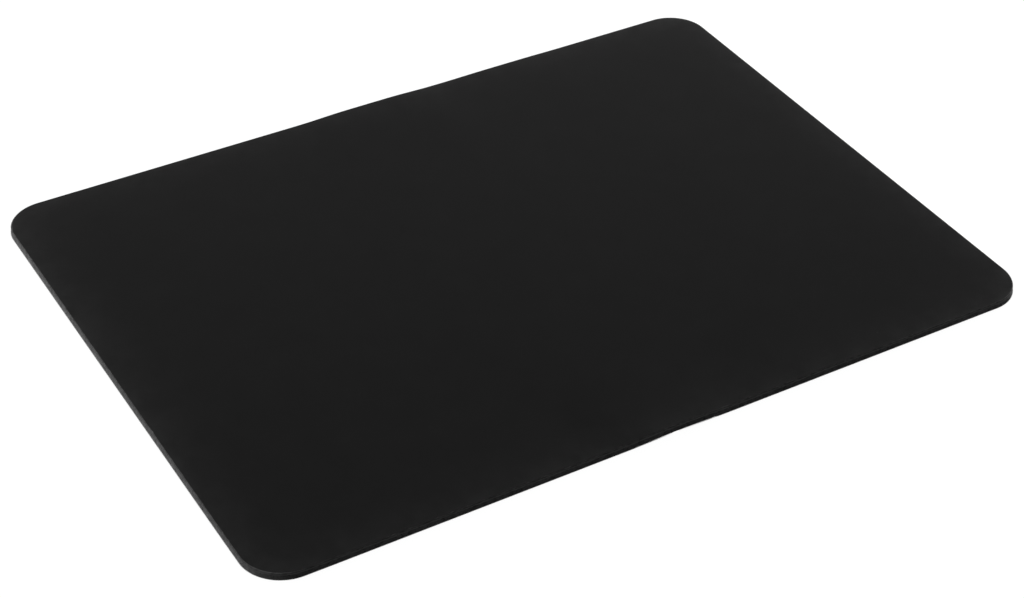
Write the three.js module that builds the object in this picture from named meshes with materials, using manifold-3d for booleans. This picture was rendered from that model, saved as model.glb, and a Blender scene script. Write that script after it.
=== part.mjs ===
// A thin rectangular mouse pad: a smooth knitted cloth bonded by a film of adhesive to a
// rubber sheet, cut to its outline in one stroke of a steel-rule die.
//
// Millimetres. +X runs along the long side, +Y to the far side, +Z up through the cloth.
// The origin is the middle of the underside, on the desk.

import * as THREE from "three";
import { mergeVertices } from "three/addons/utils/BufferGeometryUtils.js";
import Module from "manifold-3d";

// Outline, seen from above
const padLength = 240;
const padWidth = 180;
const cornerRadius = 12;

// The three layers, from the desk up
const rubberThickness = 1.5;
const adhesiveThickness = 0.1;
const clothThickness = 0.4;

// The cut wall: it leans in towards the cloth, and the rubber springs back hollow after the die
const wallLean = 0.1;
const wallHollow = 0.08;

// The cloth's rim, which the die's bevel presses down to a slope with a slight crown
const rimWidth = 0.28;
const rimHeight = 0.24;
const rimCrownShare = 0.06;

// The tread of the underside: two sets of straight V grooves that cross and leave diamond studs
const groovePitch = 7;
const grooveWidth = 1;
const grooveDepth = 0.2;
const grooveAngle = THREE.MathUtils.degToRad(35);

// How far the blank that the rubber is cut from runs past it
const overrun = 2;

// How finely the round stretches are divided
const cornerSteps = 10;
const wallSteps = 4;
const rimSteps = 4;

const rubberTop = rubberThickness;
const adhesiveTop = rubberTop + adhesiveThickness;
const clothTop = adhesiveTop + clothThickness;

const clothMaterial = new THREE.MeshStandardMaterial({
  color: 0x1f1f20,
  roughness: 0.95,
  metalness: 0,
});
const adhesiveMaterial = new THREE.MeshStandardMaterial({
  color: 0x3a3a38,
  roughness: 0.5,
  metalness: 0,
});
const rubberMaterial = new THREE.MeshStandardMaterial({
  color: 0x3c3c3d,
  roughness: 0.85,
  metalness: 0,
});

// A surface made of convex faces, each a list of corners that runs anticlockwise seen from outside.
function surfaceOf(faces) {
  const corners = faces.flatMap((face) =>
    face.slice(2).flatMap((corner, k) => [face[0], face[k + 1], corner]),
  );
  const surface = new THREE.BufferGeometry().setFromPoints(corners);
  surface.computeVertexNormals();
  return surface;
}

// The pad's outline at one height, drawn in by an inset: four corner arcs, which the straight
// sides join.
function outlineRing({ height, inset }) {
  const alongX = padLength / 2 - cornerRadius;
  const alongY = padWidth / 2 - cornerRadius;
  const arcMiddles = [
    [alongX, alongY],
    [-alongX, alongY],
    [-alongX, -alongY],
    [alongX, -alongY],
  ];
  const radius = cornerRadius - inset;
  return arcMiddles.flatMap(([x, y], quarter) =>
    Array.from({ length: cornerSteps + 1 }, (_, step) => {
      const turn = (quarter + step / cornerSteps) * (Math.PI / 2);
      return new THREE.Vector3(
        x + radius * Math.cos(turn),
        y + radius * Math.sin(turn),
        height,
      );
    }),
  );
}

// A closed sheet, lofted through outlines from the lowest to the highest.
function loftedSheet(outlines) {
  const rings = outlines.map(outlineRing);
  const faces = [];
  rings.slice(1).forEach((high, k) => {
    const low = rings[k];
    low.forEach((point, here) => {
      const next = (here + 1) % low.length;
      faces.push([point, low[next], high[next], high[here]]);
    });
  });

  const bottom = rings[0];
  const top = rings[rings.length - 1];
  const bottomMiddle = new THREE.Vector3(0, 0, bottom[0].z);
  const topMiddle = new THREE.Vector3(0, 0, top[0].z);
  bottom.forEach((point, here) => {
    const next = (here + 1) % bottom.length;
    faces.push([bottomMiddle, bottom[next], point]);
    faces.push([topMiddle, top[here], top[next]]);
  });
  return surfaceOf(faces);
}

// How far the cut wall stands in from the outline at a height above the desk.
function wallInset(height) {
  const share = height / clothTop;
  return wallLean * share + wallHollow * 4 * share * (1 - share);
}

// The outlines of the cut wall from one height to another.
function wallOutlines(low, high, steps) {
  return Array.from({ length: steps + 1 }, (_, step) => {
    const height = step < steps ? low + ((high - low) * step) / steps : high;
    return { height, inset: wallInset(height) };
  });
}

// A block wider and thicker than the rubber sheet, with the tread moulded into its underside.
// Its cells are diamonds between the groove lines, and each cell has one stud in its middle: a
// flat on the desk, and four flanks that rise from it to the groove lines.
function treadBlock() {
  const cellAlongX = groovePitch / (2 * Math.sin(grooveAngle));
  const cellAlongY = groovePitch / (2 * Math.cos(grooveAngle));
  const reach =
    (padLength / 2 + overrun) / (2 * cellAlongX) +
    (padWidth / 2 + overrun) / (2 * cellAlongY);
  const lastCell = Math.ceil(reach);
  const studShare = 1 - grooveWidth / groovePitch;
  const blockTop = rubberTop + overrun;

  // A point counted in cells along the two sets of grooves, from the middle of the middle stud
  const at = (first, second, height) =>
    new THREE.Vector3(
      (first + second) * cellAlongX,
      (first - second) * cellAlongY,
      height,
    );
  // The corners of a cell, or of a share of it, clockwise seen from above
  const diamond = (first, second, share, height) => [
    at(first - share / 2, second - share / 2, height),
    at(first + share / 2, second - share / 2, height),
    at(first + share / 2, second + share / 2, height),
    at(first - share / 2, second + share / 2, height),
  ];

  const faces = [];
  for (let first = -lastCell; first <= lastCell; first++)
    for (let second = -lastCell; second <= lastCell; second++) {
      const stud = diamond(first, second, studShare, 0);
      const groove = diamond(first, second, 1, grooveDepth);
      const top = diamond(first, second, 1, blockTop);
      const onEdge = [
        second === -lastCell,
        first === lastCell,
        second === lastCell,
        first === -lastCell,
      ];
      faces.push(stud, top.slice().reverse());
      for (let side = 0; side < 4; side++) {
        const next = (side + 1) % 4;
        faces.push([groove[side], groove[next], stud[next], stud[side]]);
        if (onEdge[side])
          faces.push([top[side], top[next], groove[next], groove[side]]);
      }
    }
  return surfaceOf(faces);
}

const wasm = await Module();
wasm.setup();

// A closed three.js surface as a solid that can be cut.
function solidOf(surface) {
  const bare = surface.clone();
  bare.deleteAttribute("normal");
  const merged = mergeVertices(bare);
  return new wasm.Manifold(
    new wasm.Mesh({
      numProp: 3,
      vertProperties: merged.getAttribute("position").array,
      triVerts: new Uint32Array(merged.index.array),
    }),
  );
}

// A solid back as a three.js surface.
function surfaceOfSolid(solid) {
  const mesh = solid.getMesh();
  const surface = new THREE.BufferGeometry()
    .setAttribute("position", new THREE.BufferAttribute(mesh.vertProperties, 3))
    .setIndex(new THREE.BufferAttribute(mesh.triVerts, 1))
    .toNonIndexed();
  surface.computeVertexNormals();
  return surface;
}

// The rubber sheet: the moulded block, kept only where the die's outline is.
function rubberBase() {
  const cutWall = wallOutlines(0, rubberTop, wallSteps);
  const belowTread = { height: -overrun, inset: wallInset(0) };
  const die = solidOf(loftedSheet([belowTread, ...cutWall]));
  return surfaceOfSolid(solidOf(treadBlock()).intersect(die));
}

// The bond between rubber and cloth: hot-melt film, pressed flat.
function adhesiveFilm() {
  return loftedSheet(wallOutlines(rubberTop, adhesiveTop, 1));
}

// The knitted cloth, whose upper edge slopes down to the cut wall. The slope is limited by the
// cloth's thickness, and there it leaves no upright part of the cut below it.
function clothTopSheet() {
  const slopeHeight = Math.min(rimHeight, clothThickness);
  const slopeStart = clothTop - slopeHeight;
  const uprightSteps = slopeHeight < clothThickness ? 1 : 0;
  const slopeOutlines = Array.from({ length: rimSteps }, (_, step) => {
    const share = (step + 1) / rimSteps;
    const rise = share + rimCrownShare * 4 * share * (1 - share);
    return {
      height: step + 1 < rimSteps ? slopeStart + slopeHeight * rise : clothTop,
      inset: wallInset(slopeStart) + rimWidth * share,
    };
  });
  return loftedSheet([
    ...wallOutlines(adhesiveTop, slopeStart, uprightSteps),
    ...slopeOutlines,
  ]);
}

function layer(name, surface, material) {
  const mesh = new THREE.Mesh(surface, material);
  mesh.name = name;
  return mesh;
}

const mousePad = new THREE.Group();
mousePad.add(layer("rubber_base", rubberBase(), rubberMaterial));
mousePad.add(layer("adhesive_film", adhesiveFilm(), adhesiveMaterial));
mousePad.add(layer("cloth_top", clothTopSheet(), clothMaterial));

export default mousePad;
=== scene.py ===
"""A thin mouse pad dressed for its photograph: knitted cloth, a film of adhesive, treaded rubber.

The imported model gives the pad's place, its size and its three layers. Each layer is made here
again as a fine mesh with its own finish, and a white studio and the camera are set round it.
Lengths are in metres: +X runs along the pad, +Z up, and the origin lies under its middle.
"""

import math

import bmesh
import bpy
from bpy.props import FloatProperty, FloatVectorProperty, PointerProperty
from mathutils import Matrix, Vector, noise


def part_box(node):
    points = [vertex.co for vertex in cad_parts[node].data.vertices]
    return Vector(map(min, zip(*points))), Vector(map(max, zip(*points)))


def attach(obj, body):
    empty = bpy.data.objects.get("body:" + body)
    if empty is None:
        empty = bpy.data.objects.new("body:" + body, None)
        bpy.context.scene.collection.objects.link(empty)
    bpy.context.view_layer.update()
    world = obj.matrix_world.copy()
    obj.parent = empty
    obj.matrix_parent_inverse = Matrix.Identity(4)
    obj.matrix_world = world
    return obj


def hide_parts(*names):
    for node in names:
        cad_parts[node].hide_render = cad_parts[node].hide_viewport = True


bl_info = {
    "name": "Mouse Pad",
    "version": (1, 0, 0),
    "blender": (4, 5, 0),
    "location": "3D View > Sidebar > Mouse Pad",
    "description": "Makes the layers of a cloth and rubber mouse pad and its studio",
    "category": "Object",
}

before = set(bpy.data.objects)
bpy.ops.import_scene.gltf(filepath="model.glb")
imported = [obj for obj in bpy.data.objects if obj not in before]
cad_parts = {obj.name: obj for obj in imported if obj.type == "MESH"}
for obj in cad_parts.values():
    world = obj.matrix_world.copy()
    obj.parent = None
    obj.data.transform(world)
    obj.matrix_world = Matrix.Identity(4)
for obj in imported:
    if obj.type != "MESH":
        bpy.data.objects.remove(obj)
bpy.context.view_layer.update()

MM = 0.001

# The pad's outline and the planes between its layers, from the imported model
RUBBER_LOW, RUBBER_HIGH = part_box("rubber_base")
FILM_LOW, FILM_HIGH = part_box("adhesive_film")
CLOTH_LOW, CLOTH_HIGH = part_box("cloth_top")
HALF_LENGTH = RUBBER_HIGH.x
HALF_WIDTH = RUBBER_HIGH.y
DESK = RUBBER_LOW.z
PAD_TOP = CLOTH_HIGH.z
PAD_BODY = "root"

# How finely the die's path is divided at its coarsest, and how many times finer its cut edge is
LONG_SIDE_STEPS = 54
SHORT_SIDE_STEPS = 39
CORNER_STEPS = 5
CUT_FINENESS = 8

# Rows of points that close a sheet, as the distance from its edge and the fineness of the row.
# A hidden face needs few. The last row of each lies on the corner radius and carries a grid.
HIDDEN_ROWS = ((3 * MM, 4), (6 * MM, 2), (12 * MM, 1))
CLOTH_ROWS = (
    (0.44 * MM, 8),
    (0.5 * MM, 8),
    (0.7 * MM, 8),
    (1.2 * MM, 4),
    (2 * MM, 4),
    (3.2 * MM, 2),
    (5 * MM, 2),
    (8 * MM, 2),
    (12 * MM, 2),
)

# How far the blank of rubber and the die run past the sheet that is cut
OVERRUN = 2 * MM

# The section of a groove: the distance from its middle as a share of its half width, and the
# height of its roof there as a share of its depth
GROOVE_SECTION_SHARES = ((0, 1), (0.4, 0.7), (0.8, 0.2), (1.15, 0))

# Where the pad was folded in its packet it still stands off the desk: the place along the pad,
# the height and the reach of each flat-topped rise
RISES = (
    (1 * MM, 0.41 * MM, 13 * MM),
    (50 * MM, 0.14 * MM, 12 * MM),
)

# How the rises change across the pad: the share of their height that is left in the middle, and
# the shares of their reach at the front and far sides, with what the middle adds to them
RISE_MIDDLE_HEIGHT_SHARE = 0.3
RISE_FRONT_REACH_SHARE = 1.1
RISE_FAR_REACH_SHARE = 1.3
RISE_MIDDLE_REACH_SHARE = 1.4

# The near left corner is cut a little short: how far its point would stand in on both sides if it
# weren't rounded, and how far away that fades out, along the two sides together
SHORT_BY = 0.15 * MM
SHORT_REACH = 30 * MM

# The angles between two faces above which the edge that they share is drawn sharp
CLOTH_CREASE = math.radians(70)
CUT_CREASE = math.radians(40)

# How much lighter the edges are, from wear and from painted light that is stronger on the left
# side, toward the key lamp: an axis, half the pad's size along it, and the share at its two ends,
# which are the left and the right side, and then the front and the far side
WEAR_AND_LIGHT_SHARES = (("X", HALF_LENGTH, 0.34, 0.18), ("Y", HALF_WIDTH, 0.25, 0.27))

# The lamps: azimuths, where 0 is along the pad and 90 is behind it, distances from the pad, and
# their common elevation and shape, whose sizes are shares of the distance
KEY_AZIMUTH = 146
KEY_DISTANCE = 0.65
RIM_AZIMUTH = 35
RIM_DISTANCE = 1.4
LAMP_ELEVATION = 13
LAMP_WIDTH_SHARE = 0.94
LAMP_HEIGHT_SHARE = 0.39

CAMERA_PLACE = Vector((-0.27005, -0.47074, 0.3963))
CAMERA_AIM = Vector((0.00268, -0.02481, 0))
CAMERA_ROLL = math.radians(1.015)
CAMERA_LENS_MM = 81.73
CAMERA_SENSOR_MM = 36
CAMERA_SHIFT_SHARE = -0.0449


class PadSizes(bpy.types.PropertyGroup):
    """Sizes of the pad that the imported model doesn't state"""

    corner_radius: FloatProperty(
        name="Corner Radius",
        description="Radius of the outline's four corners",
        default=12 * MM,
        unit="LENGTH",
    )
    wall_lean: FloatProperty(
        name="Wall Lean",
        description="How far the cut wall leans in from the desk to the cloth",
        default=0.1 * MM,
        unit="LENGTH",
    )
    wall_hollow: FloatProperty(
        name="Wall Hollow",
        description="How far the rubber springs back between the two faces",
        default=0.08 * MM,
        unit="LENGTH",
    )
    wall_grain: FloatProperty(
        name="Wall Grain",
        description="Depth of the open cells on the cut wall",
        default=0.04 * MM,
        unit="LENGTH",
    )
    rim_width: FloatProperty(
        name="Rim Width",
        description="Width of the slope that the die's bevel presses into the cloth's edge",
        default=0.28 * MM,
        unit="LENGTH",
    )
    rim_height: FloatProperty(
        name="Rim Height",
        description="Height of that slope",
        default=0.24 * MM,
        unit="LENGTH",
    )
    rim_crown: FloatProperty(
        name="Rim Crown",
        description="How far the slope stands up in its middle, as a share of its height",
        default=0.15,
        subtype="FACTOR",
    )
    rim_drop: FloatProperty(
        name="Rim Drop",
        description="How far the die has pressed the cloth down at its edge",
        default=0.03 * MM,
        unit="LENGTH",
    )
    swell: FloatProperty(
        name="Swell",
        description="Height of the slow swells of the cloth's face",
        default=0.015 * MM,
        unit="LENGTH",
    )
    groove_pitch: FloatProperty(
        name="Groove Pitch",
        description="Distance between two neighbouring grooves of the tread",
        default=7 * MM,
        unit="LENGTH",
    )
    groove_width: FloatProperty(
        name="Groove Width",
        description="Width of a groove where it opens on the desk",
        default=1 * MM,
        unit="LENGTH",
    )
    groove_depth: FloatProperty(
        name="Groove Depth",
        description="Depth of a groove",
        default=0.2 * MM,
        unit="LENGTH",
    )
    groove_angle: FloatProperty(
        name="Groove Angle",
        description="Angle of each set of grooves to the long side",
        default=math.radians(35),
        subtype="ANGLE",
    )


class PadFinish(bpy.types.PropertyGroup):
    """Colours and textures of the pad"""

    cloth: FloatVectorProperty(
        name="Cloth",
        description="Colour of the knitted face",
        default=(0.0102, 0.0102, 0.0102),
        subtype="COLOR",
    )
    # Worn Cloth: the cloth's edges, lighter from wear and from painted light
    worn_and_lit_cloth: FloatVectorProperty(
        name="Worn And Lit Cloth",
        description="Colour of the cloth where handling has roughened it, by the edge",
        default=(0.03, 0.03, 0.03),
        subtype="COLOR",
    )
    yarn_ends: FloatVectorProperty(
        name="Yarn Ends",
        description="Colour of the cut ends of the yarn at the cloth's edge",
        default=(0.077, 0.077, 0.077),
        subtype="COLOR",
    )
    lint: FloatVectorProperty(
        name="Lint",
        description="Colour of the specks of lint and dust",
        default=(0.05, 0.05, 0.048),
        subtype="COLOR",
    )
    film: FloatVectorProperty(
        name="Film",
        description="Colour of the adhesive film's cut edge",
        default=(0.02, 0.02, 0.0195),
        subtype="COLOR",
    )
    cut_rubber: FloatVectorProperty(
        name="Cut Rubber",
        description="Colour of the cut wall of the rubber",
        default=(0.098, 0.098, 0.098),
        subtype="COLOR",
    )
    # Open Cells: painted shade in the hollow cells of the cut wall, also the colour of the dust in
    # the tread's grooves
    open_cell_shade_and_groove_dust: FloatVectorProperty(
        name="Open Cell Shade And Groove Dust",
        description="Colour of the open cells in the cut wall",
        default=(0.025, 0.025, 0.025),
        subtype="COLOR",
    )
    rubber_skin: FloatVectorProperty(
        name="Rubber Skin",
        description="Colour of the moulded underside",
        default=(0.02, 0.02, 0.0205),
        subtype="COLOR",
    )
    wale_width: FloatProperty(
        name="Wale Width",
        description="Width of one column of stitches",
        default=0.42 * MM,
        unit="LENGTH",
    )
    course_height: FloatProperty(
        name="Course Height",
        description="Height of one row of stitches",
        default=0.34 * MM,
        unit="LENGTH",
    )
    grain_size: FloatProperty(
        name="Grain Size",
        description="Size of the cells in the cut rubber",
        default=0.5 * MM,
        unit="LENGTH",
    )


class StudioSettings(bpy.types.PropertyGroup):
    """Light and background of the studio"""

    glow: FloatProperty(
        name="Glow",
        description="Brightness of the paper in the camera, where 1 is white",
        default=1.06,
    )
    shadow: FloatProperty(
        name="Shadow",
        description="Share of the real light that the camera sees on the paper",
        default=0.07,
        subtype="FACTOR",
    )
    contact_reach: FloatProperty(
        name="Contact Reach",
        description="How far the dark of the gap under the pad reaches",
        default=0.45 * MM,
        unit="LENGTH",
    )
    key_power: FloatProperty(
        name="Key Power",
        description="Power of the wide low lamp at the back left",
        default=4.05,
        unit="POWER",
    )
    rim_power: FloatProperty(
        name="Rim Power",
        description="Power of the wide low lamp at the back right",
        default=73,
        unit="POWER",
    )
    fill: FloatProperty(
        name="Fill",
        description="Brightness of the even light from all round",
        default=0.14,
    )


class Studio:
    """Names of what stands around the pad"""

    PAPER = "studio_paper"
    KEY = "key_lamp"
    RIM = "rim_lamp"
    CAMERA = "photo_camera"


def pad_sizes():
    return bpy.context.scene.pad_sizes


def pad_finish():
    return bpy.context.scene.pad_finish


def studio_settings():
    return bpy.context.scene.studio_settings


# The outline


def corner_middle():
    """The middle of the corner arc at the far right."""
    radius = pad_sizes().corner_radius
    return HALF_LENGTH - radius, HALF_WIDTH - radius


def die_path(fineness):
    """Points of the outline, anticlockwise from the near end of the right side.

    Each is the foot of its radius, on the rectangle of the corner middles, and the direction
    in which the wall faces there.
    """
    reach_x, reach_y = corner_middle()
    corners = [(reach_x, reach_y), (-reach_x, reach_y), (-reach_x, -reach_y), (reach_x, -reach_y)]
    path = []
    for quarter, corner in enumerate(corners):
        start, end = Vector(corners[quarter - 1]), Vector(corner)
        steps = fineness * (LONG_SIDE_STEPS if quarter % 2 else SHORT_SIDE_STEPS)
        facing = quarter * math.pi / 2
        path += [(start.lerp(end, step / steps), facing) for step in range(steps)]
        turns = fineness * CORNER_STEPS
        path += [(end, facing + step / turns * math.pi / 2) for step in range(turns)]
    return path


def distance_from_edge(x, y):
    """How far a point lies inside the outline."""
    reach_x, reach_y = corner_middle()
    past_x, past_y = abs(x) - reach_x, abs(y) - reach_y
    beyond = math.hypot(max(past_x, 0), max(past_y, 0))
    return pad_sizes().corner_radius - beyond - min(max(past_x, past_y), 0)


def wall_inset(height):
    """How far the cut wall stands in from the outline at a height above the desk."""
    sizes = pad_sizes()
    share = (height - DESK) / (PAD_TOP - DESK)
    return sizes.wall_lean * share + sizes.wall_hollow * 4 * share * (1 - share)


# Closed sheets


def add_face(shape, *corners):
    """Adds a face, leaving out corners that fall together."""
    kept = [corner for k, corner in enumerate(corners) if corner is not corners[k - 1]]
    if len(kept) > 2:
        shape.faces.new(kept)


def add_ring(shape, fineness, inset, height, relief=None):
    """Adds the points of the outline at a height, drawn in by an inset.

    Relief is a function of a point that says how far the wall stands back there.
    """
    radius = pad_sizes().corner_radius
    ring = []
    for foot, facing in die_path(fineness):
        outward = Vector((math.cos(facing), math.sin(facing)))
        point = foot + outward * (radius - inset)
        place = Vector((point.x, point.y, height))
        if relief:
            place -= outward.to_3d() * relief(place)
        ring.append(shape.verts.new(place))
    return ring


def add_grid(shape, fineness, height):
    """Adds a grid over the rectangle of the corner middles. Returns the ring of its border."""
    reach_x, reach_y = corner_middle()
    along = fineness * LONG_SIDE_STEPS
    across = fineness * SHORT_SIDE_STEPS
    turns = fineness * CORNER_STEPS
    grid = [
        [
            shape.verts.new(
                (reach_x * (2 * i / along - 1), reach_y * (2 * j / across - 1), height)
            )
            for j in range(across + 1)
        ]
        for i in range(along + 1)
    ]
    for i in range(along):
        for j in range(across):
            add_face(shape, grid[i][j], grid[i + 1][j], grid[i + 1][j + 1], grid[i][j + 1])
    right = [grid[along][j] for j in range(across)]
    far = [grid[along - i][across] for i in range(along)]
    left = [grid[0][across - j] for j in range(across)]
    near = [grid[i][0] for i in range(along)]
    ring = []
    for side, next_side in ((right, far), (far, left), (left, near), (near, right)):
        ring += side + [next_side[0]] * turns
    return ring


def bridge(shape, outer, inner):
    """Joins two rings. The inner one has as many points as the outer one, or half as many."""
    count = len(inner)
    for here in range(count):
        there = (here + 1) % count
        if len(outer) == count:
            add_face(shape, outer[here], outer[there], inner[there], inner[here])
            continue
        first, middle, last = (outer[(2 * here + k) % len(outer)] for k in range(3))
        add_face(shape, first, middle, inner[here])
        add_face(shape, middle, inner[there], inner[here])
        add_face(shape, middle, last, inner[there])


def close_ring(shape, ring, rows, height, drop=None):
    """Closes a ring with rows of points and a grid.

    Drop is a function of an inset that says how far a row lies below the height.
    """
    for inset, fineness in rows[:-1]:
        inner = add_ring(shape, fineness, inset, height - (drop(inset) if drop else 0))
        bridge(shape, ring, inner)
        ring = inner
    inset, fineness = rows[-1]
    bridge(shape, ring, add_grid(shape, fineness, height - (drop(inset) if drop else 0)))


def sheet_mesh(name, wall, rows_above=HIDDEN_ROWS, drop=None, relief=None):
    """A closed sheet whose wall rises through outlines, each an inset and a height.

    Relief roughens the wall between its first and last outlines.
    """
    shape = bmesh.new()
    rings = []
    for k, (inset, height) in enumerate(wall):
        rough = relief if 0 < k < len(wall) - 1 else None
        rings.append(add_ring(shape, CUT_FINENESS, inset, height, rough))
    for low, high in zip(rings, rings[1:]):
        bridge(shape, low, high)
    close_ring(shape, rings[0], HIDDEN_ROWS, wall[0][1])
    top = wall[-1][1] + (drop(wall[-1][0]) if drop else 0)
    close_ring(shape, rings[-1], rows_above, top, drop)
    bmesh.ops.recalc_face_normals(shape, faces=shape.faces)
    mesh = bpy.data.meshes.new(name)
    shape.to_mesh(mesh)
    shape.free()
    return mesh


def straight_wall(low, high, steps):
    """Outlines of the cut wall between two heights."""
    heights = [low + (high - low) * step / steps for step in range(steps + 1)]
    return [(wall_inset(height), height) for height in heights]


# Reliefs, each a depth at a point


def cell_relief(point):
    """The open cells of the cut rubber."""
    grain = pad_finish().grain_size
    clump = 3 * grain
    apart = Vector((5, 3, 1))
    middle, coarse_share, fine_share = 0.5, 0.3, 0.4
    coarse = coarse_share * noise.noise(point / clump)
    fine = fine_share * noise.noise(point / grain + apart)
    return pad_sizes().wall_grain * (middle + coarse + fine)


def yarn_relief(point):
    """The uneven ends of the cut yarn."""
    depth, tuft = 0.02 * MM, 0.5 * MM
    return depth * noise.noise(point / tuft)


def film_relief(point):
    """The film's edge, squeezed out a little here and there."""
    squeezed, bead = 0.02 * MM, 4 * MM
    return -squeezed * max(noise.noise(point / bead), 0)


# Putting a layer in place


def rise(x, y):
    """How far the pad stands off the desk at a place: most at the front and far sides, and in
    the middle the rises are lower and wider."""
    across = y / HALF_WIDTH
    high = RISE_MIDDLE_HEIGHT_SHARE + (1 - RISE_MIDDLE_HEIGHT_SHARE) * across**4
    far = (1 + across) / 2
    wide = RISE_FRONT_REACH_SHARE + (RISE_FAR_REACH_SHARE - RISE_FRONT_REACH_SHARE) * far
    wide += RISE_MIDDLE_REACH_SHARE * (1 - across**2)
    return high * sum(
        height * math.exp(-(((x - place) / (reach * wide)) ** 4))
        for place, height, reach in RISES
    )


def drawn_in(x, y):
    """How far the short corner is drawn in along both sides at a place."""
    from_point = HALF_LENGTH + x + HALF_WIDTH + y
    return SHORT_BY * max(1 - from_point / SHORT_REACH, 0) ** 2


def settle(mesh, swell=0):
    """Lays a flat mesh as the pad lies, with the slow swells of its upper face."""
    span, fade = 28 * MM, 4 * MM
    for vertex in mesh.vertices:
        place = vertex.co
        if swell:
            inside = min(distance_from_edge(place.x, place.y) / fade, 1)
            upper = (place.z - CLOTH_LOW.z) / (PAD_TOP - CLOTH_LOW.z)
            place.z += swell * upper * max(inside, 0) * noise.noise(place / span)
        short = drawn_in(place.x, place.y)
        place += Vector((short, short, rise(place.x, place.y)))


def note_distance_from_edge(mesh):
    """Stores each point's distance from the edge, which the materials read."""
    attribute = mesh.attributes.new("from_edge", "FLOAT", "POINT")
    distances = [distance_from_edge(v.co.x, v.co.y) for v in mesh.vertices]
    attribute.data.foreach_set("value", distances)


def place_layer(name, mesh, node, materials, crease, swell=0):
    """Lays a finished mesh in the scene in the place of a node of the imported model."""
    note_distance_from_edge(mesh)
    settle(mesh, swell)
    mesh.shade_smooth()
    mesh.set_sharp_from_angle(angle=crease)
    for material in materials:
        mesh.materials.append(material)
    layer = bpy.data.objects.new(name, mesh)
    bpy.context.scene.collection.objects.link(layer)
    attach(layer, PAD_BODY)
    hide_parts(node)
    return layer


# The tread


def lattice_lines(reach):
    """Lines of the tread across one set of its grooves, counted in cells from the middle stud.

    Each is a place and the height of the groove's roof there as a share of its depth.
    """
    sizes = pad_sizes()
    half_width = sizes.groove_width / 2 / sizes.groove_pitch
    near_side = [(-0.5 + away * half_width, high) for away, high in GROOVE_SECTION_SHARES]
    far_side = [(-place, high) for place, high in reversed(near_side[1:])]
    lines = []
    for cell in range(-reach, reach + 1):
        lines += [(cell + place, high) for place, high in near_side + far_side]
    return lines + [(reach + 0.5, 1)]


def depth_share_left(x, y):
    """The share of its depth that a groove keeps at a place: the die has pressed the rubber's
    foot together, so over the last pitch the grooves run out shallow."""
    at_edge = 0.2
    inside = distance_from_edge(x, y) / pad_sizes().groove_pitch
    return at_edge + (1 - at_edge) * min(max(inside, 0), 1)


def tread_blank():
    """A block of rubber, wider and thicker than the sheet, with the tread in its underside."""
    sizes = pad_sizes()
    cell_x = sizes.groove_pitch / (2 * math.sin(sizes.groove_angle))
    cell_y = sizes.groove_pitch / (2 * math.cos(sizes.groove_angle))
    reach = math.ceil(
        (HALF_LENGTH + OVERRUN) / (2 * cell_x) + (HALF_WIDTH + OVERRUN) / (2 * cell_y)
    )
    lines = lattice_lines(reach)
    block_top = RUBBER_HIGH.z + OVERRUN

    shape = bmesh.new()
    grid = []
    for first, high in lines:
        row = []
        for second, other in lines:
            x, y = (first + second) * cell_x, (first - second) * cell_y
            roof = sizes.groove_depth * (1 - (1 - high) * (1 - other)) * depth_share_left(x, y)
            row.append(shape.verts.new((x, y, DESK + roof)))
        grid.append(row)
    last = len(lines) - 1
    for i in range(last):
        for j in range(last):
            shape.faces.new((grid[i][j], grid[i + 1][j], grid[i + 1][j + 1], grid[i][j + 1]))

    border = [grid[i][0] for i in range(last)] + [grid[last][j] for j in range(last)]
    border += [grid[i][last] for i in range(last, 0, -1)] + [grid[0][j] for j in range(last, 0, -1)]
    lifted = [shape.verts.new((v.co.x, v.co.y, block_top)) for v in border]
    for here in range(len(border)):
        before = here - 1
        shape.faces.new((border[before], border[here], lifted[here], lifted[before]))
    shape.faces.new(lifted)
    bmesh.ops.recalc_face_normals(shape, faces=shape.faces)
    mesh = bpy.data.meshes.new("tread_blank")
    shape.to_mesh(mesh)
    shape.free()
    return mesh


def punched(blank, die):
    """The part of a blank that lies inside a die."""
    objects = [bpy.data.objects.new(mesh.name, mesh) for mesh in (blank, die)]
    for each in objects:
        bpy.context.scene.collection.objects.link(each)
    cut = objects[0].modifiers.new("cut", "BOOLEAN")
    cut.operation = "INTERSECT"
    cut.solver = "MANIFOLD"
    cut.object = objects[1]
    depsgraph = bpy.context.evaluated_depsgraph_get()
    made = bpy.data.meshes.new_from_object(objects[0].evaluated_get(depsgraph))
    made.materials.clear()
    for each in objects:
        mesh = each.data
        bpy.data.objects.remove(each)
        bpy.data.meshes.remove(mesh)
    return made


# Node trees


def put(tree, kind, feeds=None, **settings):
    """Adds a node. Each feed is an input's name or number, with a socket to link or a value."""
    node = tree.nodes.new(kind)
    for name, value in settings.items():
        setattr(node, name, value)
    for name, value in (feeds or {}).items():
        if isinstance(value, bpy.types.NodeSocket):
            tree.links.new(value, node.inputs[name])
        else:
            node.inputs[name].default_value = value
    return node


def reckon(tree, operation, *values):
    """The result of a Math node."""
    return put(tree, "ShaderNodeMath", dict(enumerate(values)), operation=operation).outputs[0]


def between(tree, share, low, high):
    """The value at a share of the way from one to another."""
    return reckon(tree, "MULTIPLY_ADD", share, high - low, low)


def ease(tree, value, start, end):
    """A value from 0 at the start to 1 at the end, smoothed at both."""
    feeds = {"Value": value, "From Min": start, "From Max": end}
    return put(tree, "ShaderNodeMapRange", feeds, interpolation_type="SMOOTHSTEP").outputs[0]


def blend(tree, share, first, second):
    """The colour between two others."""
    # The node has sockets for each kind of value, and these are the places of those for colours
    factor, colour_a, colour_b, result = 0, 6, 7, 2
    feeds = {factor: share, colour_a: first, colour_b: second}
    return put(tree, "ShaderNodeMix", feeds, data_type="RGBA").outputs[result]


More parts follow.
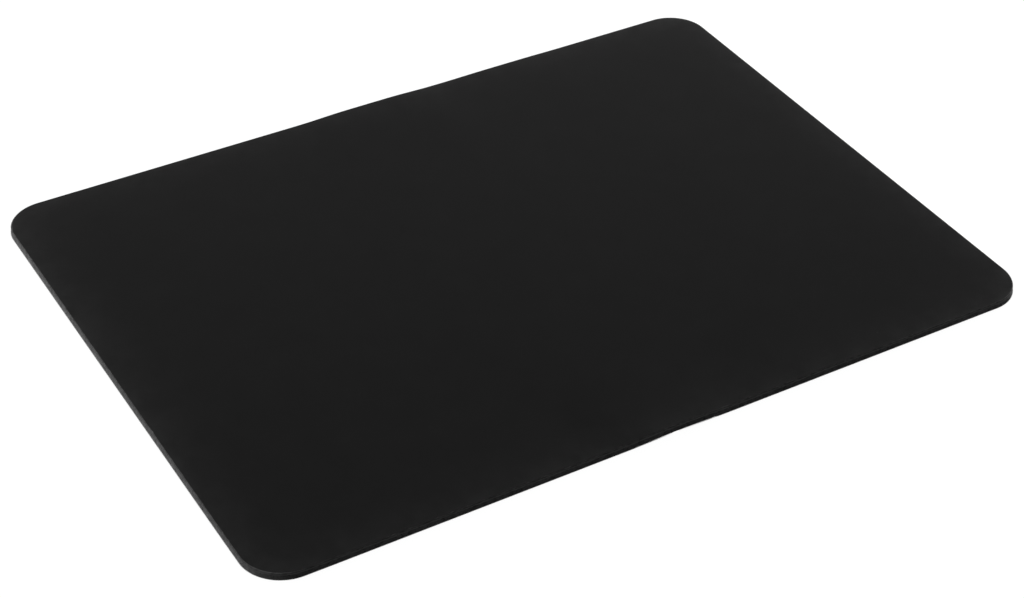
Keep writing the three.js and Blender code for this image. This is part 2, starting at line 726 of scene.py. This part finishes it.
def toned(tree, colour, tone):
    """A colour made lighter or darker, where a tone of 1 leaves it as it is."""
    feeds = {0: colour, "Scale": tone}
    return put(tree, "ShaderNodeVectorMath", feeds, operation="SCALE").outputs[0]


def axes(tree, vector):
    """The X, Y and Z of a vector."""
    return put(tree, "ShaderNodeSeparateXYZ", {0: vector}).outputs


def cell_noise(tree, vector, size):
    """Noise from 0 to 1 with features of a size."""
    scale = reckon(tree, "DIVIDE", 1, size)
    feeds = {"Vector": vector, "Scale": scale, "Detail": 3, "Roughness": 0.6}
    return put(tree, "ShaderNodeTexNoise", feeds).outputs[0]


def new_group(name, inputs, outputs):
    """An empty node group. Inputs and outputs are names with the kind of each socket."""
    tree = bpy.data.node_groups.new(name, "ShaderNodeTree")
    for side, sockets in (("INPUT", inputs), ("OUTPUT", outputs)):
        for socket, kind in sockets.items():
            tree.interface.new_socket(socket, in_out=side, socket_type="NodeSocket" + kind)
    given = tree.nodes.new("NodeGroupInput")
    made = tree.nodes.new("NodeGroupOutput")
    return tree, given.outputs, made.inputs


def knit_group():
    """A knit of columns of V stitches. Height is its relief, and the other output the painted shade
    between yarns.
    """
    wales_in_wander = 9
    height_between_loops = 0.4
    gap_height = 0.3
    tree, given, made = new_group(
        "knit",
        {
            "Vector": "Vector",
            "Wale Width": "Float",
            "Course Height": "Float",
            "Unevenness": "Float",
        },
        {"Height": "Float", "Gap Shade": "Float"},
    )
    place = axes(tree, given["Vector"])
    wander = reckon(tree, "MULTIPLY", given["Wale Width"], wales_in_wander)
    wander = cell_noise(tree, given["Vector"], wander)
    wander = reckon(tree, "MULTIPLY", reckon(tree, "SUBTRACT", wander, 0.5), given["Unevenness"])
    column = reckon(tree, "ADD", reckon(tree, "DIVIDE", place["X"], given["Wale Width"]), wander)
    row = reckon(tree, "ADD", reckon(tree, "DIVIDE", place["Y"], given["Course Height"]), wander)

    from_middle = reckon(tree, "PINGPONG", column, 0.5)
    slanted = reckon(tree, "ADD", row, from_middle)
    leg = reckon(tree, "SINE", reckon(tree, "MULTIPLY", slanted, 2 * math.pi))
    leg = reckon(tree, "MULTIPLY_ADD", leg, 0.5, 0.5)
    crown = reckon(tree, "SINE", reckon(tree, "MULTIPLY", from_middle, 2 * math.pi))
    relief = reckon(tree, "MULTIPLY", crown, between(tree, leg, height_between_loops, 1))
    tree.links.new(relief, made["Height"])
    tree.links.new(ease(tree, relief, gap_height, 0), made["Gap Shade"])
    return tree


def grain_group():
    """Grain of a size. Height is its relief, and Cells the hollows in it."""
    cell_size_share = 1.4
    cell_floor_share = 0.4
    cell_depth = 0.5
    tree, given, made = new_group(
        "grain",
        {"Vector": "Vector", "Grain Size": "Float", "Cell Cover": "Float"},
        {"Height": "Float", "Cells": "Float"},
    )
    fine = cell_noise(tree, given["Vector"], given["Grain Size"])
    size = reckon(tree, "MULTIPLY", given["Grain Size"], cell_size_share)
    feeds = {"Vector": given["Vector"], "Scale": reckon(tree, "DIVIDE", 1, size)}
    hollow = put(tree, "ShaderNodeTexVoronoi", feeds).outputs["Distance"]
    floor = reckon(tree, "MULTIPLY", given["Cell Cover"], cell_floor_share)
    cells = ease(tree, hollow, given["Cell Cover"], floor)
    height = reckon(tree, "SUBTRACT", fine, reckon(tree, "MULTIPLY", cells, cell_depth))
    tree.links.new(height, made["Height"])
    tree.links.new(cells, made["Cells"])
    return tree


def dust_group():
    """Specks of dust or lint, in a few of the cells that the surface is divided into."""
    smallest, largest = 0.3, 1.1
    faintest, strongest = 0.3, 1
    core_share = 0.5
    tree, given, made = new_group(
        "dust",
        {
            "Vector": "Vector",
            "Colour": "Color",
            "Dust Colour": "Color",
            "Spacing": "Float",
            "Speck Size": "Float",
            "Cover": "Float",
        },
        {"Colour": "Color"},
    )
    scale = reckon(tree, "DIVIDE", 1, given["Spacing"])
    cell = put(tree, "ShaderNodeTexVoronoi", {"Vector": given["Vector"], "Scale": scale}).outputs
    chance = put(tree, "ShaderNodeSeparateColor", {0: cell["Color"]}).outputs
    wide = reckon(tree, "MULTIPLY", given["Speck Size"], scale)
    wide = reckon(tree, "MULTIPLY", wide, between(tree, chance["Green"], smallest, largest))
    speck = ease(tree, cell["Distance"], wide, reckon(tree, "MULTIPLY", wide, core_share))
    here = reckon(tree, "LESS_THAN", chance["Red"], given["Cover"])
    specks = reckon(tree, "MULTIPLY", speck, here)
    strength = between(tree, chance["Blue"], faintest, strongest)
    specks = reckon(tree, "MULTIPLY", specks, strength)
    tree.links.new(blend(tree, specks, given["Colour"], given["Dust Colour"]), made["Colour"])
    return tree


def edge_wear_and_light_group():
    """Patchy wear and painted light that fade away from each side, on top of the extra painted
    light that is fed in.
    """
    least, most = 0.65, 1.35
    tree, given, made = new_group(
        "edge wear and light",
        {
            "Vector": "Vector",
            "Reach": "Float",
            "Patch Size": "Float",
            "Extra Light": "Float",
            "Colour": "Color",
            "Worn And Lit Colour": "Color",
        },
        {"Colour": "Color"},
    )
    place = axes(tree, given["Vector"])
    near = given["Extra Light"]
    for axis, half, low, high in WEAR_AND_LIGHT_SHARES:
        past = reckon(tree, "SUBTRACT", reckon(tree, "ABSOLUTE", place[axis]), half)
        side = reckon(tree, "EXPONENT", reckon(tree, "DIVIDE", past, given["Reach"]))
        tilt = (high - low) / (2 * half)
        share = reckon(tree, "MULTIPLY_ADD", place[axis], tilt, (low + high) / 2)
        near = reckon(tree, "MULTIPLY_ADD", side, share, near)
    patchy = cell_noise(tree, given["Vector"], given["Patch Size"])
    patchy = ease(tree, patchy, start=0.3, end=0.7)
    wear_and_light = reckon(tree, "MULTIPLY", near, between(tree, patchy, least, most))
    wear_and_light = reckon(tree, "MINIMUM", wear_and_light, 1)
    tree.links.new(blend(tree, wear_and_light, given["Colour"], given["Worn And Lit Colour"]), made["Colour"])
    return tree


def patches_group():
    """Soft patches of a size, from 0 to 1."""
    tree, given, made = new_group(
        "patches", {"Vector": "Vector", "Patch Size": "Float"}, {"Patches": "Float"}
    )
    patchy = cell_noise(tree, given["Vector"], given["Patch Size"])
    tree.links.new(ease(tree, patchy, start=0.25, end=0.75), made["Patches"])
    return tree


def right_end_light_group():
    """The right end of the pad, where painted light from the right falls: 1 by the side, and 0
    further in.
    """
    start, end = 60 * MM, 112 * MM
    tree, given, made = new_group("right end light", {"Vector": "Vector"}, {"Right End Light": "Float"})
    right_end_lit = ease(tree, axes(tree, given["Vector"])["X"], start, end)
    tree.links.new(right_end_lit, made["Right End Light"])
    return tree


GROUP_MAKERS = {
    "knit": knit_group,
    "grain": grain_group,
    "dust": dust_group,
    "edge wear and light": edge_wear_and_light_group,
    "patches": patches_group,
    "right end light": right_end_light_group,
}


def put_group(tree, name, feeds):
    """Places a node group, which is made the first time, and returns its outputs."""
    group = bpy.data.node_groups.get(name) or GROUP_MAKERS[name]()
    return put(tree, "ShaderNodeGroup", feeds, node_tree=group).outputs


# Materials


def with_alpha(colour):
    """A colour as the opaque one that a socket takes."""
    return (*colour, 1)


def new_surface(name, **plain):
    """A material with a Principled shader, whose plain values are set on its own sockets."""
    material = bpy.data.materials.new(name)
    material.use_nodes = True
    tree = material.node_tree
    shader = tree.nodes["Principled BSDF"]
    for socket, value in plain.items():
        shader.inputs[socket.replace("_", " ")].default_value = value
    place = put(tree, "ShaderNodeTexCoord").outputs["Object"]
    return material, tree, shader, place


def add_bump(tree, shader, height, depth):
    """Feeds the shader's normal from a height."""
    bump = put(tree, "ShaderNodeBump", {"Height": height, "Distance": depth, "Strength": 1})
    tree.links.new(bump.outputs[0], shader.inputs["Normal"])


def add_dusty_colour(tree, shader, place, colour, spacing, speck_size, cover):
    """Feeds the shader's colour with a colour that dust lies on."""
    feeds = {
        "Vector": place,
        "Colour": colour,
        "Dust Colour": with_alpha(pad_finish().lint),
        "Spacing": spacing,
        "Speck Size": speck_size,
        "Cover": cover,
    }
    dusted = put_group(tree, "dust", feeds)
    tree.links.new(dusted["Colour"], shader.inputs["Base Color"])


def distance_read(tree):
    """The stored distance from the edge."""
    return put(tree, "ShaderNodeAttribute", attribute_name="from_edge").outputs["Fac"]


def round_a_corner(tree, along):
    """How far a place has come round a corner: 0 on the sides, and 1 in the corner's middle."""
    start, end = -2 * MM, 7.5 * MM
    corner_x, corner_y = corner_middle()
    past_x = reckon(tree, "SUBTRACT", reckon(tree, "ABSOLUTE", along["X"]), corner_x)
    past_y = reckon(tree, "SUBTRACT", reckon(tree, "ABSOLUTE", along["Y"]), corner_y)
    return ease(tree, reckon(tree, "MINIMUM", past_x, past_y), start, end)


def right_end_light_on_cloth(tree, place, along, distance):
    """How much painted light from the right lightens the right end of the cloth, and most its two
    corners.
    """
    fade = 4 * MM
    on_side, in_corner = 0.12, 0.22
    right_end_lit = put_group(tree, "right end light", {"Vector": place})["Right End Light"]
    fading = reckon(tree, "EXPONENT", reckon(tree, "DIVIDE", distance, -fade))
    right_light = between(tree, round_a_corner(tree, along), on_side, in_corner)
    return reckon(tree, "MULTIPLY", reckon(tree, "MULTIPLY", fading, right_end_lit), right_light)


def yarn_end_reach(tree, place, along):
    """How far in from the edge the cut ends of the yarn show: more round the left corners and along
    the left side, as a painted highlight where the rim faces the key lamp, more at the right end as
    painted light from the right, and more in flecks where a few ends are pulled out."""
    least = 0.38 * MM
    painted_highlight_in_left_corners = 0.14 * MM
    painted_highlight_by_left, left_start, left_end = 0.06 * MM, 4 * MM, 1 * MM
    painted_light_by_right, right_start, right_end = 0.035 * MM, 50 * MM, 95 * MM
    more_in_flecks, fleck_size = 0.09 * MM, 1.4 * MM

    half = painted_highlight_in_left_corners / 2
    in_corners = reckon(tree, "MULTIPLY_ADD", along["X"], -half / HALF_LENGTH, half)
    by_left = ease(tree, along["X"], left_start - HALF_LENGTH, left_end - HALF_LENGTH)
    by_right = ease(tree, along["X"], right_start, right_end)
    fleck = ease(tree, cell_noise(tree, place, fleck_size), start=0.52, end=0.68)
    reach = reckon(tree, "MULTIPLY_ADD", round_a_corner(tree, along), in_corners, least)
    reach = reckon(tree, "MULTIPLY_ADD", by_left, painted_highlight_by_left, reach)
    reach = reckon(tree, "MULTIPLY_ADD", by_right, painted_light_by_right, reach)
    return reckon(tree, "MULTIPLY_ADD", fleck, more_in_flecks, reach)


def cloth_material():
    """Fine black polyester knit: matte, a little lighter by its edge from wear and painted light,
    with painted shade between its yarns and a few specks of lint.
    """
    on_yarn, in_gap_shade = 1.05, 0.8
    mottle_size, darker, lighter = 9 * MM, 0.91, 1.09
    darkest_end, lightest_end, end_blur = 0.71, 1.31, 0.03 * MM
    finish = pad_finish()
    material, tree, shader, place = new_surface(
        "knitted_cloth",
        Roughness=0.8,
        Specular_IOR_Level=0,
        Sheen_Weight=0.08,
        Sheen_Roughness=0.3,
    )
    knit = put_group(
        tree,
        "knit",
        {
            "Vector": place,
            "Wale Width": finish.wale_width,
            "Course Height": finish.course_height,
            "Unevenness": 0.5,
        },
    )
    along = axes(tree, place)
    distance = distance_read(tree)
    # The edges are lighter from wear and from painted light
    wear_and_light = put_group(
        tree,
        "edge wear and light",
        {
            "Vector": place,
            "Reach": 6 * MM,
            "Patch Size": 5 * MM,
            "Extra Light": right_end_light_on_cloth(tree, place, along, distance),
            "Colour": with_alpha(finish.cloth),
            "Worn And Lit Colour": with_alpha(finish.worn_and_lit_cloth),
        },
    )
    mottle = between(tree, cell_noise(tree, place, mottle_size), darker, lighter)
    # Painted shade darkens the colour in the gaps between the yarns
    yarn = reckon(tree, "MULTIPLY", between(tree, knit["Gap Shade"], on_yarn, in_gap_shade), mottle)
    shaded = toned(tree, wear_and_light["Colour"], yarn)
    past_reach = reckon(tree, "SUBTRACT", distance, yarn_end_reach(tree, place, along))
    cut = ease(tree, past_reach, end_blur, -end_blur)
    tufts = put_group(tree, "patches", {"Vector": place, "Patch Size": 1.1 * MM})["Patches"]
    ends = toned(tree, finish.yarn_ends, between(tree, tufts, darkest_end, lightest_end))
    edged = blend(tree, cut, shaded, ends)
    add_dusty_colour(
        tree, shader, place, edged, spacing=7 * MM, speck_size=0.22 * MM, cover=0.2
    )
    add_bump(tree, shader, knit["Height"], depth=0.02 * MM)
    return material


def film_material():
    """Clear hot melt over black rubber: dark and satin, and darker where its grain is low, as grain
    tone and painted shade.
    """
    shade_and_grain_share = 0.6
    finish = pad_finish()
    material, tree, shader, place = new_surface(
        "adhesive_edge", Roughness=0.45, Specular_IOR_Level=0.4
    )
    grain = put_group(
        tree, "grain", {"Vector": place, "Grain Size": 0.5 * MM, "Cell Cover": 0.2}
    )
    # Darker where the grain is low: grain tone and painted shade in its hollows
    darker = [channel * shade_and_grain_share for channel in finish.film]
    colour = blend(tree, grain["Height"], with_alpha(darker), with_alpha(finish.film))
    tree.links.new(colour, shader.inputs["Base Color"])
    add_bump(tree, shader, grain["Height"], depth=0.02 * MM)
    return material


def cut_rubber_material():
    """Foamed rubber where the die went through it: granular, with painted shade in its open cells,
    pale dust, and painted light that lightens it toward the desk and toward the right end.
    """
    darkest = 0.42
    more_in_clouds, cloud_size = 0.4, 3 * MM
    more_in_spots = 0.5
    painted_light_at_foot = 0.2
    painted_light_at_right_end = 0.15
    finish = pad_finish()
    material, tree, shader, place = new_surface(
        "cut_rubber", Roughness=0.95, Specular_IOR_Level=0.01
    )
    grain = put_group(
        tree,
        "grain",
        {"Vector": place, "Grain Size": finish.grain_size, "Cell Cover": 0.3},
    )
    # Painted shade: the open cells are darker
    base = blend(tree, grain["Cells"], with_alpha(finish.cut_rubber), with_alpha(finish.open_cell_shade_and_groove_dust))
    clouds = ease(tree, cell_noise(tree, place, cloud_size), start=0.2, end=0.8)
    spots = put_group(tree, "patches", {"Vector": place, "Patch Size": 1.3 * MM})["Patches"]
    # Painted light: the wall is lighter toward the desk, against the shade by its foot
    foot = ease(tree, axes(tree, place)["Z"], RUBBER_HIGH.z, DESK)
    # Painted light: the wall is lighter toward the right end
    right_end_lit = put_group(tree, "right end light", {"Vector": place})["Right End Light"]
    tone = between(tree, clouds, darkest, darkest + more_in_clouds)
    tone = reckon(tree, "MULTIPLY_ADD", spots, more_in_spots, tone)
    tone = reckon(tree, "MULTIPLY_ADD", foot, painted_light_at_foot, tone)
    tone = reckon(tree, "MULTIPLY_ADD", right_end_lit, painted_light_at_right_end, tone)
    shaded = toned(tree, base, tone)
    add_dusty_colour(
        tree, shader, place, shaded, spacing=1.2 * MM, speck_size=0.2 * MM, cover=0.4
    )
    add_bump(tree, shader, grain["Height"], depth=0.06 * MM)
    return material


def rubber_skin_material():
    """The moulded underside: a closed skin with the print of the mould's cloth on its studs."""
    dust_start_share, dust_end_share = 0.1, 0.85
    on_studs, in_grooves = 0.55, 0.75
    finish = pad_finish()
    material, tree, shader, place = new_surface("rubber_skin", Specular_IOR_Level=0.4)
    cloth_print = put_group(
        tree,
        "knit",
        {"Vector": place, "Wale Width": 0.8 * MM, "Course Height": 0.8 * MM, "Unevenness": 0.3},
    )
    grain = put_group(
        tree, "grain", {"Vector": place, "Grain Size": 0.25 * MM, "Cell Cover": 0.1}
    )
    depth = pad_sizes().groove_depth
    height = axes(tree, place)["Z"]
    in_groove = ease(tree, height, dust_start_share * depth, dust_end_share * depth)
    dusty = blend(tree, in_groove, with_alpha(finish.rubber_skin), with_alpha(finish.open_cell_shade_and_groove_dust))
    # Lighter by the edges from wear, with the same painted light by the sides as the cloth
    wear_and_light = put_group(
        tree,
        "edge wear and light",
        {
            "Vector": place,
            "Reach": 6 * MM,
            "Patch Size": 4 * MM,
            "Colour": dusty,
            "Worn And Lit Colour": with_alpha(finish.cut_rubber),
        },
    )
    worn_and_lit = wear_and_light["Colour"]
    add_dusty_colour(tree, shader, place, worn_and_lit, spacing=4 * MM, speck_size=0.3 * MM, cover=0.3)
    rough = between(tree, in_groove, on_studs, in_grooves)
    tree.links.new(rough, shader.inputs["Roughness"])
    relief = reckon(tree, "ADD", cloth_print["Height"], grain["Height"])
    add_bump(tree, shader, relief, depth=0.02 * MM)
    return material


# The studio


def seen_directly(tree):
    """1 for what the camera, a gloss or a glass shows, and 0 for the light that falls on things."""
    ray = put(tree, "ShaderNodeLightPath").outputs
    seen = reckon(tree, "MAXIMUM", ray["Is Camera Ray"], ray["Is Glossy Ray"])
    return reckon(tree, "MAXIMUM", seen, ray["Is Transmission Ray"])


def paper_material():
    """White paper: the camera sees it white with a faint shadow, and it throws back less light."""
    closed_off, open_enough = 0.49, 0.86
    lit_tone, bounce_tone = 0.8, 0.3
    studio = studio_settings()
    material = bpy.data.materials.new("white_paper")
    material.use_nodes = True
    tree = material.node_tree
    tree.nodes.clear()
    lit = put(tree, "ShaderNodeBsdfDiffuse", {"Color": with_alpha([lit_tone] * 3)}).outputs[0]
    reach = {"Distance": studio.contact_reach}
    clear = put(tree, "ShaderNodeAmbientOcclusion", reach, samples=8).outputs["AO"]
    # The glow dims where the pad closes the paper off: a painted contact shadow
    glow = reckon(tree, "MULTIPLY", ease(tree, clear, closed_off, open_enough), studio.glow)
    glow = put(tree, "ShaderNodeEmission", {"Color": (1, 1, 1, 1), "Strength": glow})
    shown = put(tree, "ShaderNodeMixShader", {0: studio.shadow, 1: glow.outputs[0], 2: lit})
    bounce = put(tree, "ShaderNodeBsdfDiffuse", {"Color": with_alpha([bounce_tone] * 3)})
    feeds = {0: seen_directly(tree), 1: bounce.outputs[0], 2: shown.outputs[0]}
    surface = put(tree, "ShaderNodeMixShader", feeds).outputs[0]
    put(tree, "ShaderNodeOutputMaterial", {"Surface": surface})
    return material


def make_world():
    """A white room: white where it is seen, and a dim even light otherwise."""
    studio = studio_settings()
    world = bpy.data.worlds.new("white_room")
    world.use_nodes = True
    tree = world.node_tree
    tree.nodes.clear()
    white = (1, 1, 1, 1)
    seen = put(tree, "ShaderNodeBackground", {"Color": white, "Strength": 1}).outputs[0]
    light = put(tree, "ShaderNodeBackground", {"Color": white, "Strength": studio.fill}).outputs[0]
    feeds = {0: seen_directly(tree), 1: light, 2: seen}
    surface = put(tree, "ShaderNodeMixShader", feeds).outputs[0]
    put(tree, "ShaderNodeOutputWorld", {"Surface": surface})
    bpy.context.scene.world = world


def make_paper():
    """The sheet that the pad lies on."""
    half = 4000 * MM
    mesh = bpy.data.meshes.new(Studio.PAPER)
    corners = [(-half, -half, DESK), (half, -half, DESK), (half, half, DESK), (-half, half, DESK)]
    mesh.from_pydata(corners, [], [(0, 1, 2, 3)])
    mesh.materials.append(paper_material())
    paper = bpy.data.objects.new(Studio.PAPER, mesh)
    bpy.context.scene.collection.objects.link(paper)


def make_lamp(name, azimuth, distance, power):
    """A wide low lamp that looks at the pad."""
    data = bpy.data.lights.new(name, "AREA")
    data.shape = "RECTANGLE"
    data.size = distance * LAMP_WIDTH_SHARE
    data.size_y = distance * LAMP_HEIGHT_SHARE
    data.energy = power
    lamp = bpy.data.objects.new(name, data)
    turn, tilt = math.radians(azimuth), math.radians(LAMP_ELEVATION)
    flat = math.cos(tilt)
    away = Vector((math.cos(turn) * flat, math.sin(turn) * flat, math.sin(tilt)))
    lamp.location = away * distance
    lamp.rotation_euler = away.to_track_quat("Z", "Y").to_euler()
    lamp.visible_camera = False
    bpy.context.scene.collection.objects.link(lamp)


def make_camera():
    """The camera, where the photograph was taken from."""
    data = bpy.data.cameras.new(Studio.CAMERA)
    data.sensor_width = CAMERA_SENSOR_MM
    data.lens = CAMERA_LENS_MM
    data.shift_x = CAMERA_SHIFT_SHARE
    camera = bpy.data.objects.new(Studio.CAMERA, data)
    level = (CAMERA_AIM - CAMERA_PLACE).to_track_quat("-Z", "Y").to_matrix()
    turned = level @ Matrix.Rotation(CAMERA_ROLL, 3, "Z")
    camera.matrix_world = Matrix.Translation(CAMERA_PLACE) @ turned.to_4x4()
    bpy.context.scene.collection.objects.link(camera)
    bpy.context.scene.camera = camera


# Operators


class MakeClothTop(bpy.types.Operator):
    """Lay the knitted cloth, with its pressed rim and the cut ends of its yarn"""

    bl_idname = "mouse_pad.cloth_top"
    bl_label = "Cloth Top"

    def execute(self, context):
        sizes = pad_sizes()
        slope_start = PAD_TOP - sizes.rim_drop - sizes.rim_height
        wall = straight_wall(CLOTH_LOW.z, slope_start, steps=1)
        steps = 8
        for step in range(1, steps + 1):
            share = step / steps
            up = share + sizes.rim_crown * 4 * share * (1 - share)
            inset = wall_inset(slope_start) + sizes.rim_width * share
            wall.append((inset, slope_start + sizes.rim_height * up))

        def drop(inset):
            pressed = 1.5 * MM
            return sizes.rim_drop * math.exp(-(inset - wall[-1][0]) / pressed)

        mesh = sheet_mesh("cloth_sheet", wall, CLOTH_ROWS, drop, yarn_relief)
        cloth = place_layer(
            "cloth_sheet",
            mesh,
            "cloth_top",
            [cloth_material()],
            CLOTH_CREASE,
            sizes.swell,
        )
        return {"FINISHED"}


class MakeAdhesiveFilm(bpy.types.Operator):
    """Press the adhesive film between the cloth and the rubber"""

    bl_idname = "mouse_pad.adhesive_film"
    bl_label = "Adhesive Film"

    def execute(self, context):
        wall = straight_wall(FILM_LOW.z, FILM_HIGH.z, steps=3)
        mesh = sheet_mesh("film_sheet", wall, relief=film_relief)
        place_layer(
            "film_sheet", mesh, "adhesive_film", [film_material()], CUT_CREASE
        )
        return {"FINISHED"}


class MakeRubberBase(bpy.types.Operator):
    """Mould the rubber with its tread and punch it out"""

    bl_idname = "mouse_pad.rubber_base"
    bl_label = "Rubber Base"

    def execute(self, context):
        wall = straight_wall(DESK, RUBBER_HIGH.z, steps=8)
        below = (wall_inset(DESK), DESK - OVERRUN)
        die = sheet_mesh("die", [below, *wall], relief=cell_relief)
        mesh = punched(tread_blank(), die)
        rubber = place_layer(
            "rubber_sheet",
            mesh,
            "rubber_base",
            [rubber_skin_material(), cut_rubber_material()],
            CUT_CREASE,
        )
        steep = 0.5
        for face in rubber.data.polygons:
            face.material_index = 1 if abs(face.normal.z) < steep else 0
        return {"FINISHED"}


class MakeStudio(bpy.types.Operator):
    """Set the white paper, the room's light, the lamps and the camera"""

    bl_idname = "mouse_pad.studio"
    bl_label = "Studio"

    def execute(self, context):
        studio = studio_settings()
        make_world()
        make_paper()
        make_lamp(Studio.KEY, KEY_AZIMUTH, KEY_DISTANCE, studio.key_power)
        make_lamp(Studio.RIM, RIM_AZIMUTH, RIM_DISTANCE, studio.rim_power)
        make_camera()
        context.scene.view_settings.view_transform = "Standard"
        return {"FINISHED"}


class MousePadPanel(bpy.types.Panel):
    """The pad's layers and its studio, with their settings"""

    bl_idname = "VIEW3D_PT_mouse_pad"
    bl_label = "Mouse Pad"
    bl_space_type = "VIEW_3D"
    bl_region_type = "UI"
    bl_category = "Mouse Pad"

    def draw(self, context):
        for operator in OPERATORS:
            self.layout.operator(operator.bl_idname)
        for group in (pad_sizes(), pad_finish(), studio_settings()):
            box = self.layout.box()
            for name in group.bl_rna.properties.keys():
                if name not in ("rna_type", "name"):
                    box.prop(group, name)


OPERATORS = (MakeStudio, MakeClothTop, MakeAdhesiveFilm, MakeRubberBase)
SETTINGS = {
    "pad_sizes": PadSizes,
    "pad_finish": PadFinish,
    "studio_settings": StudioSettings,
}


def register():
    for name, group in SETTINGS.items():
        bpy.utils.register_class(group)
        setattr(bpy.types.Scene, name, PointerProperty(type=group))
    for operator in OPERATORS:
        bpy.utils.register_class(operator)
    bpy.utils.register_class(MousePadPanel)


def unregister():
    bpy.utils.unregister_class(MousePadPanel)
    for operator in reversed(OPERATORS):
        bpy.utils.unregister_class(operator)
    for name, group in SETTINGS.items():
        delattr(bpy.types.Scene, name)
        bpy.utils.unregister_class(group)


def main():
    register()
    bpy.ops.mouse_pad.studio()
    bpy.ops.mouse_pad.rubber_base()
    bpy.ops.mouse_pad.adhesive_film()
    bpy.ops.mouse_pad.cloth_top()


if __name__ == "__main__":
    main()
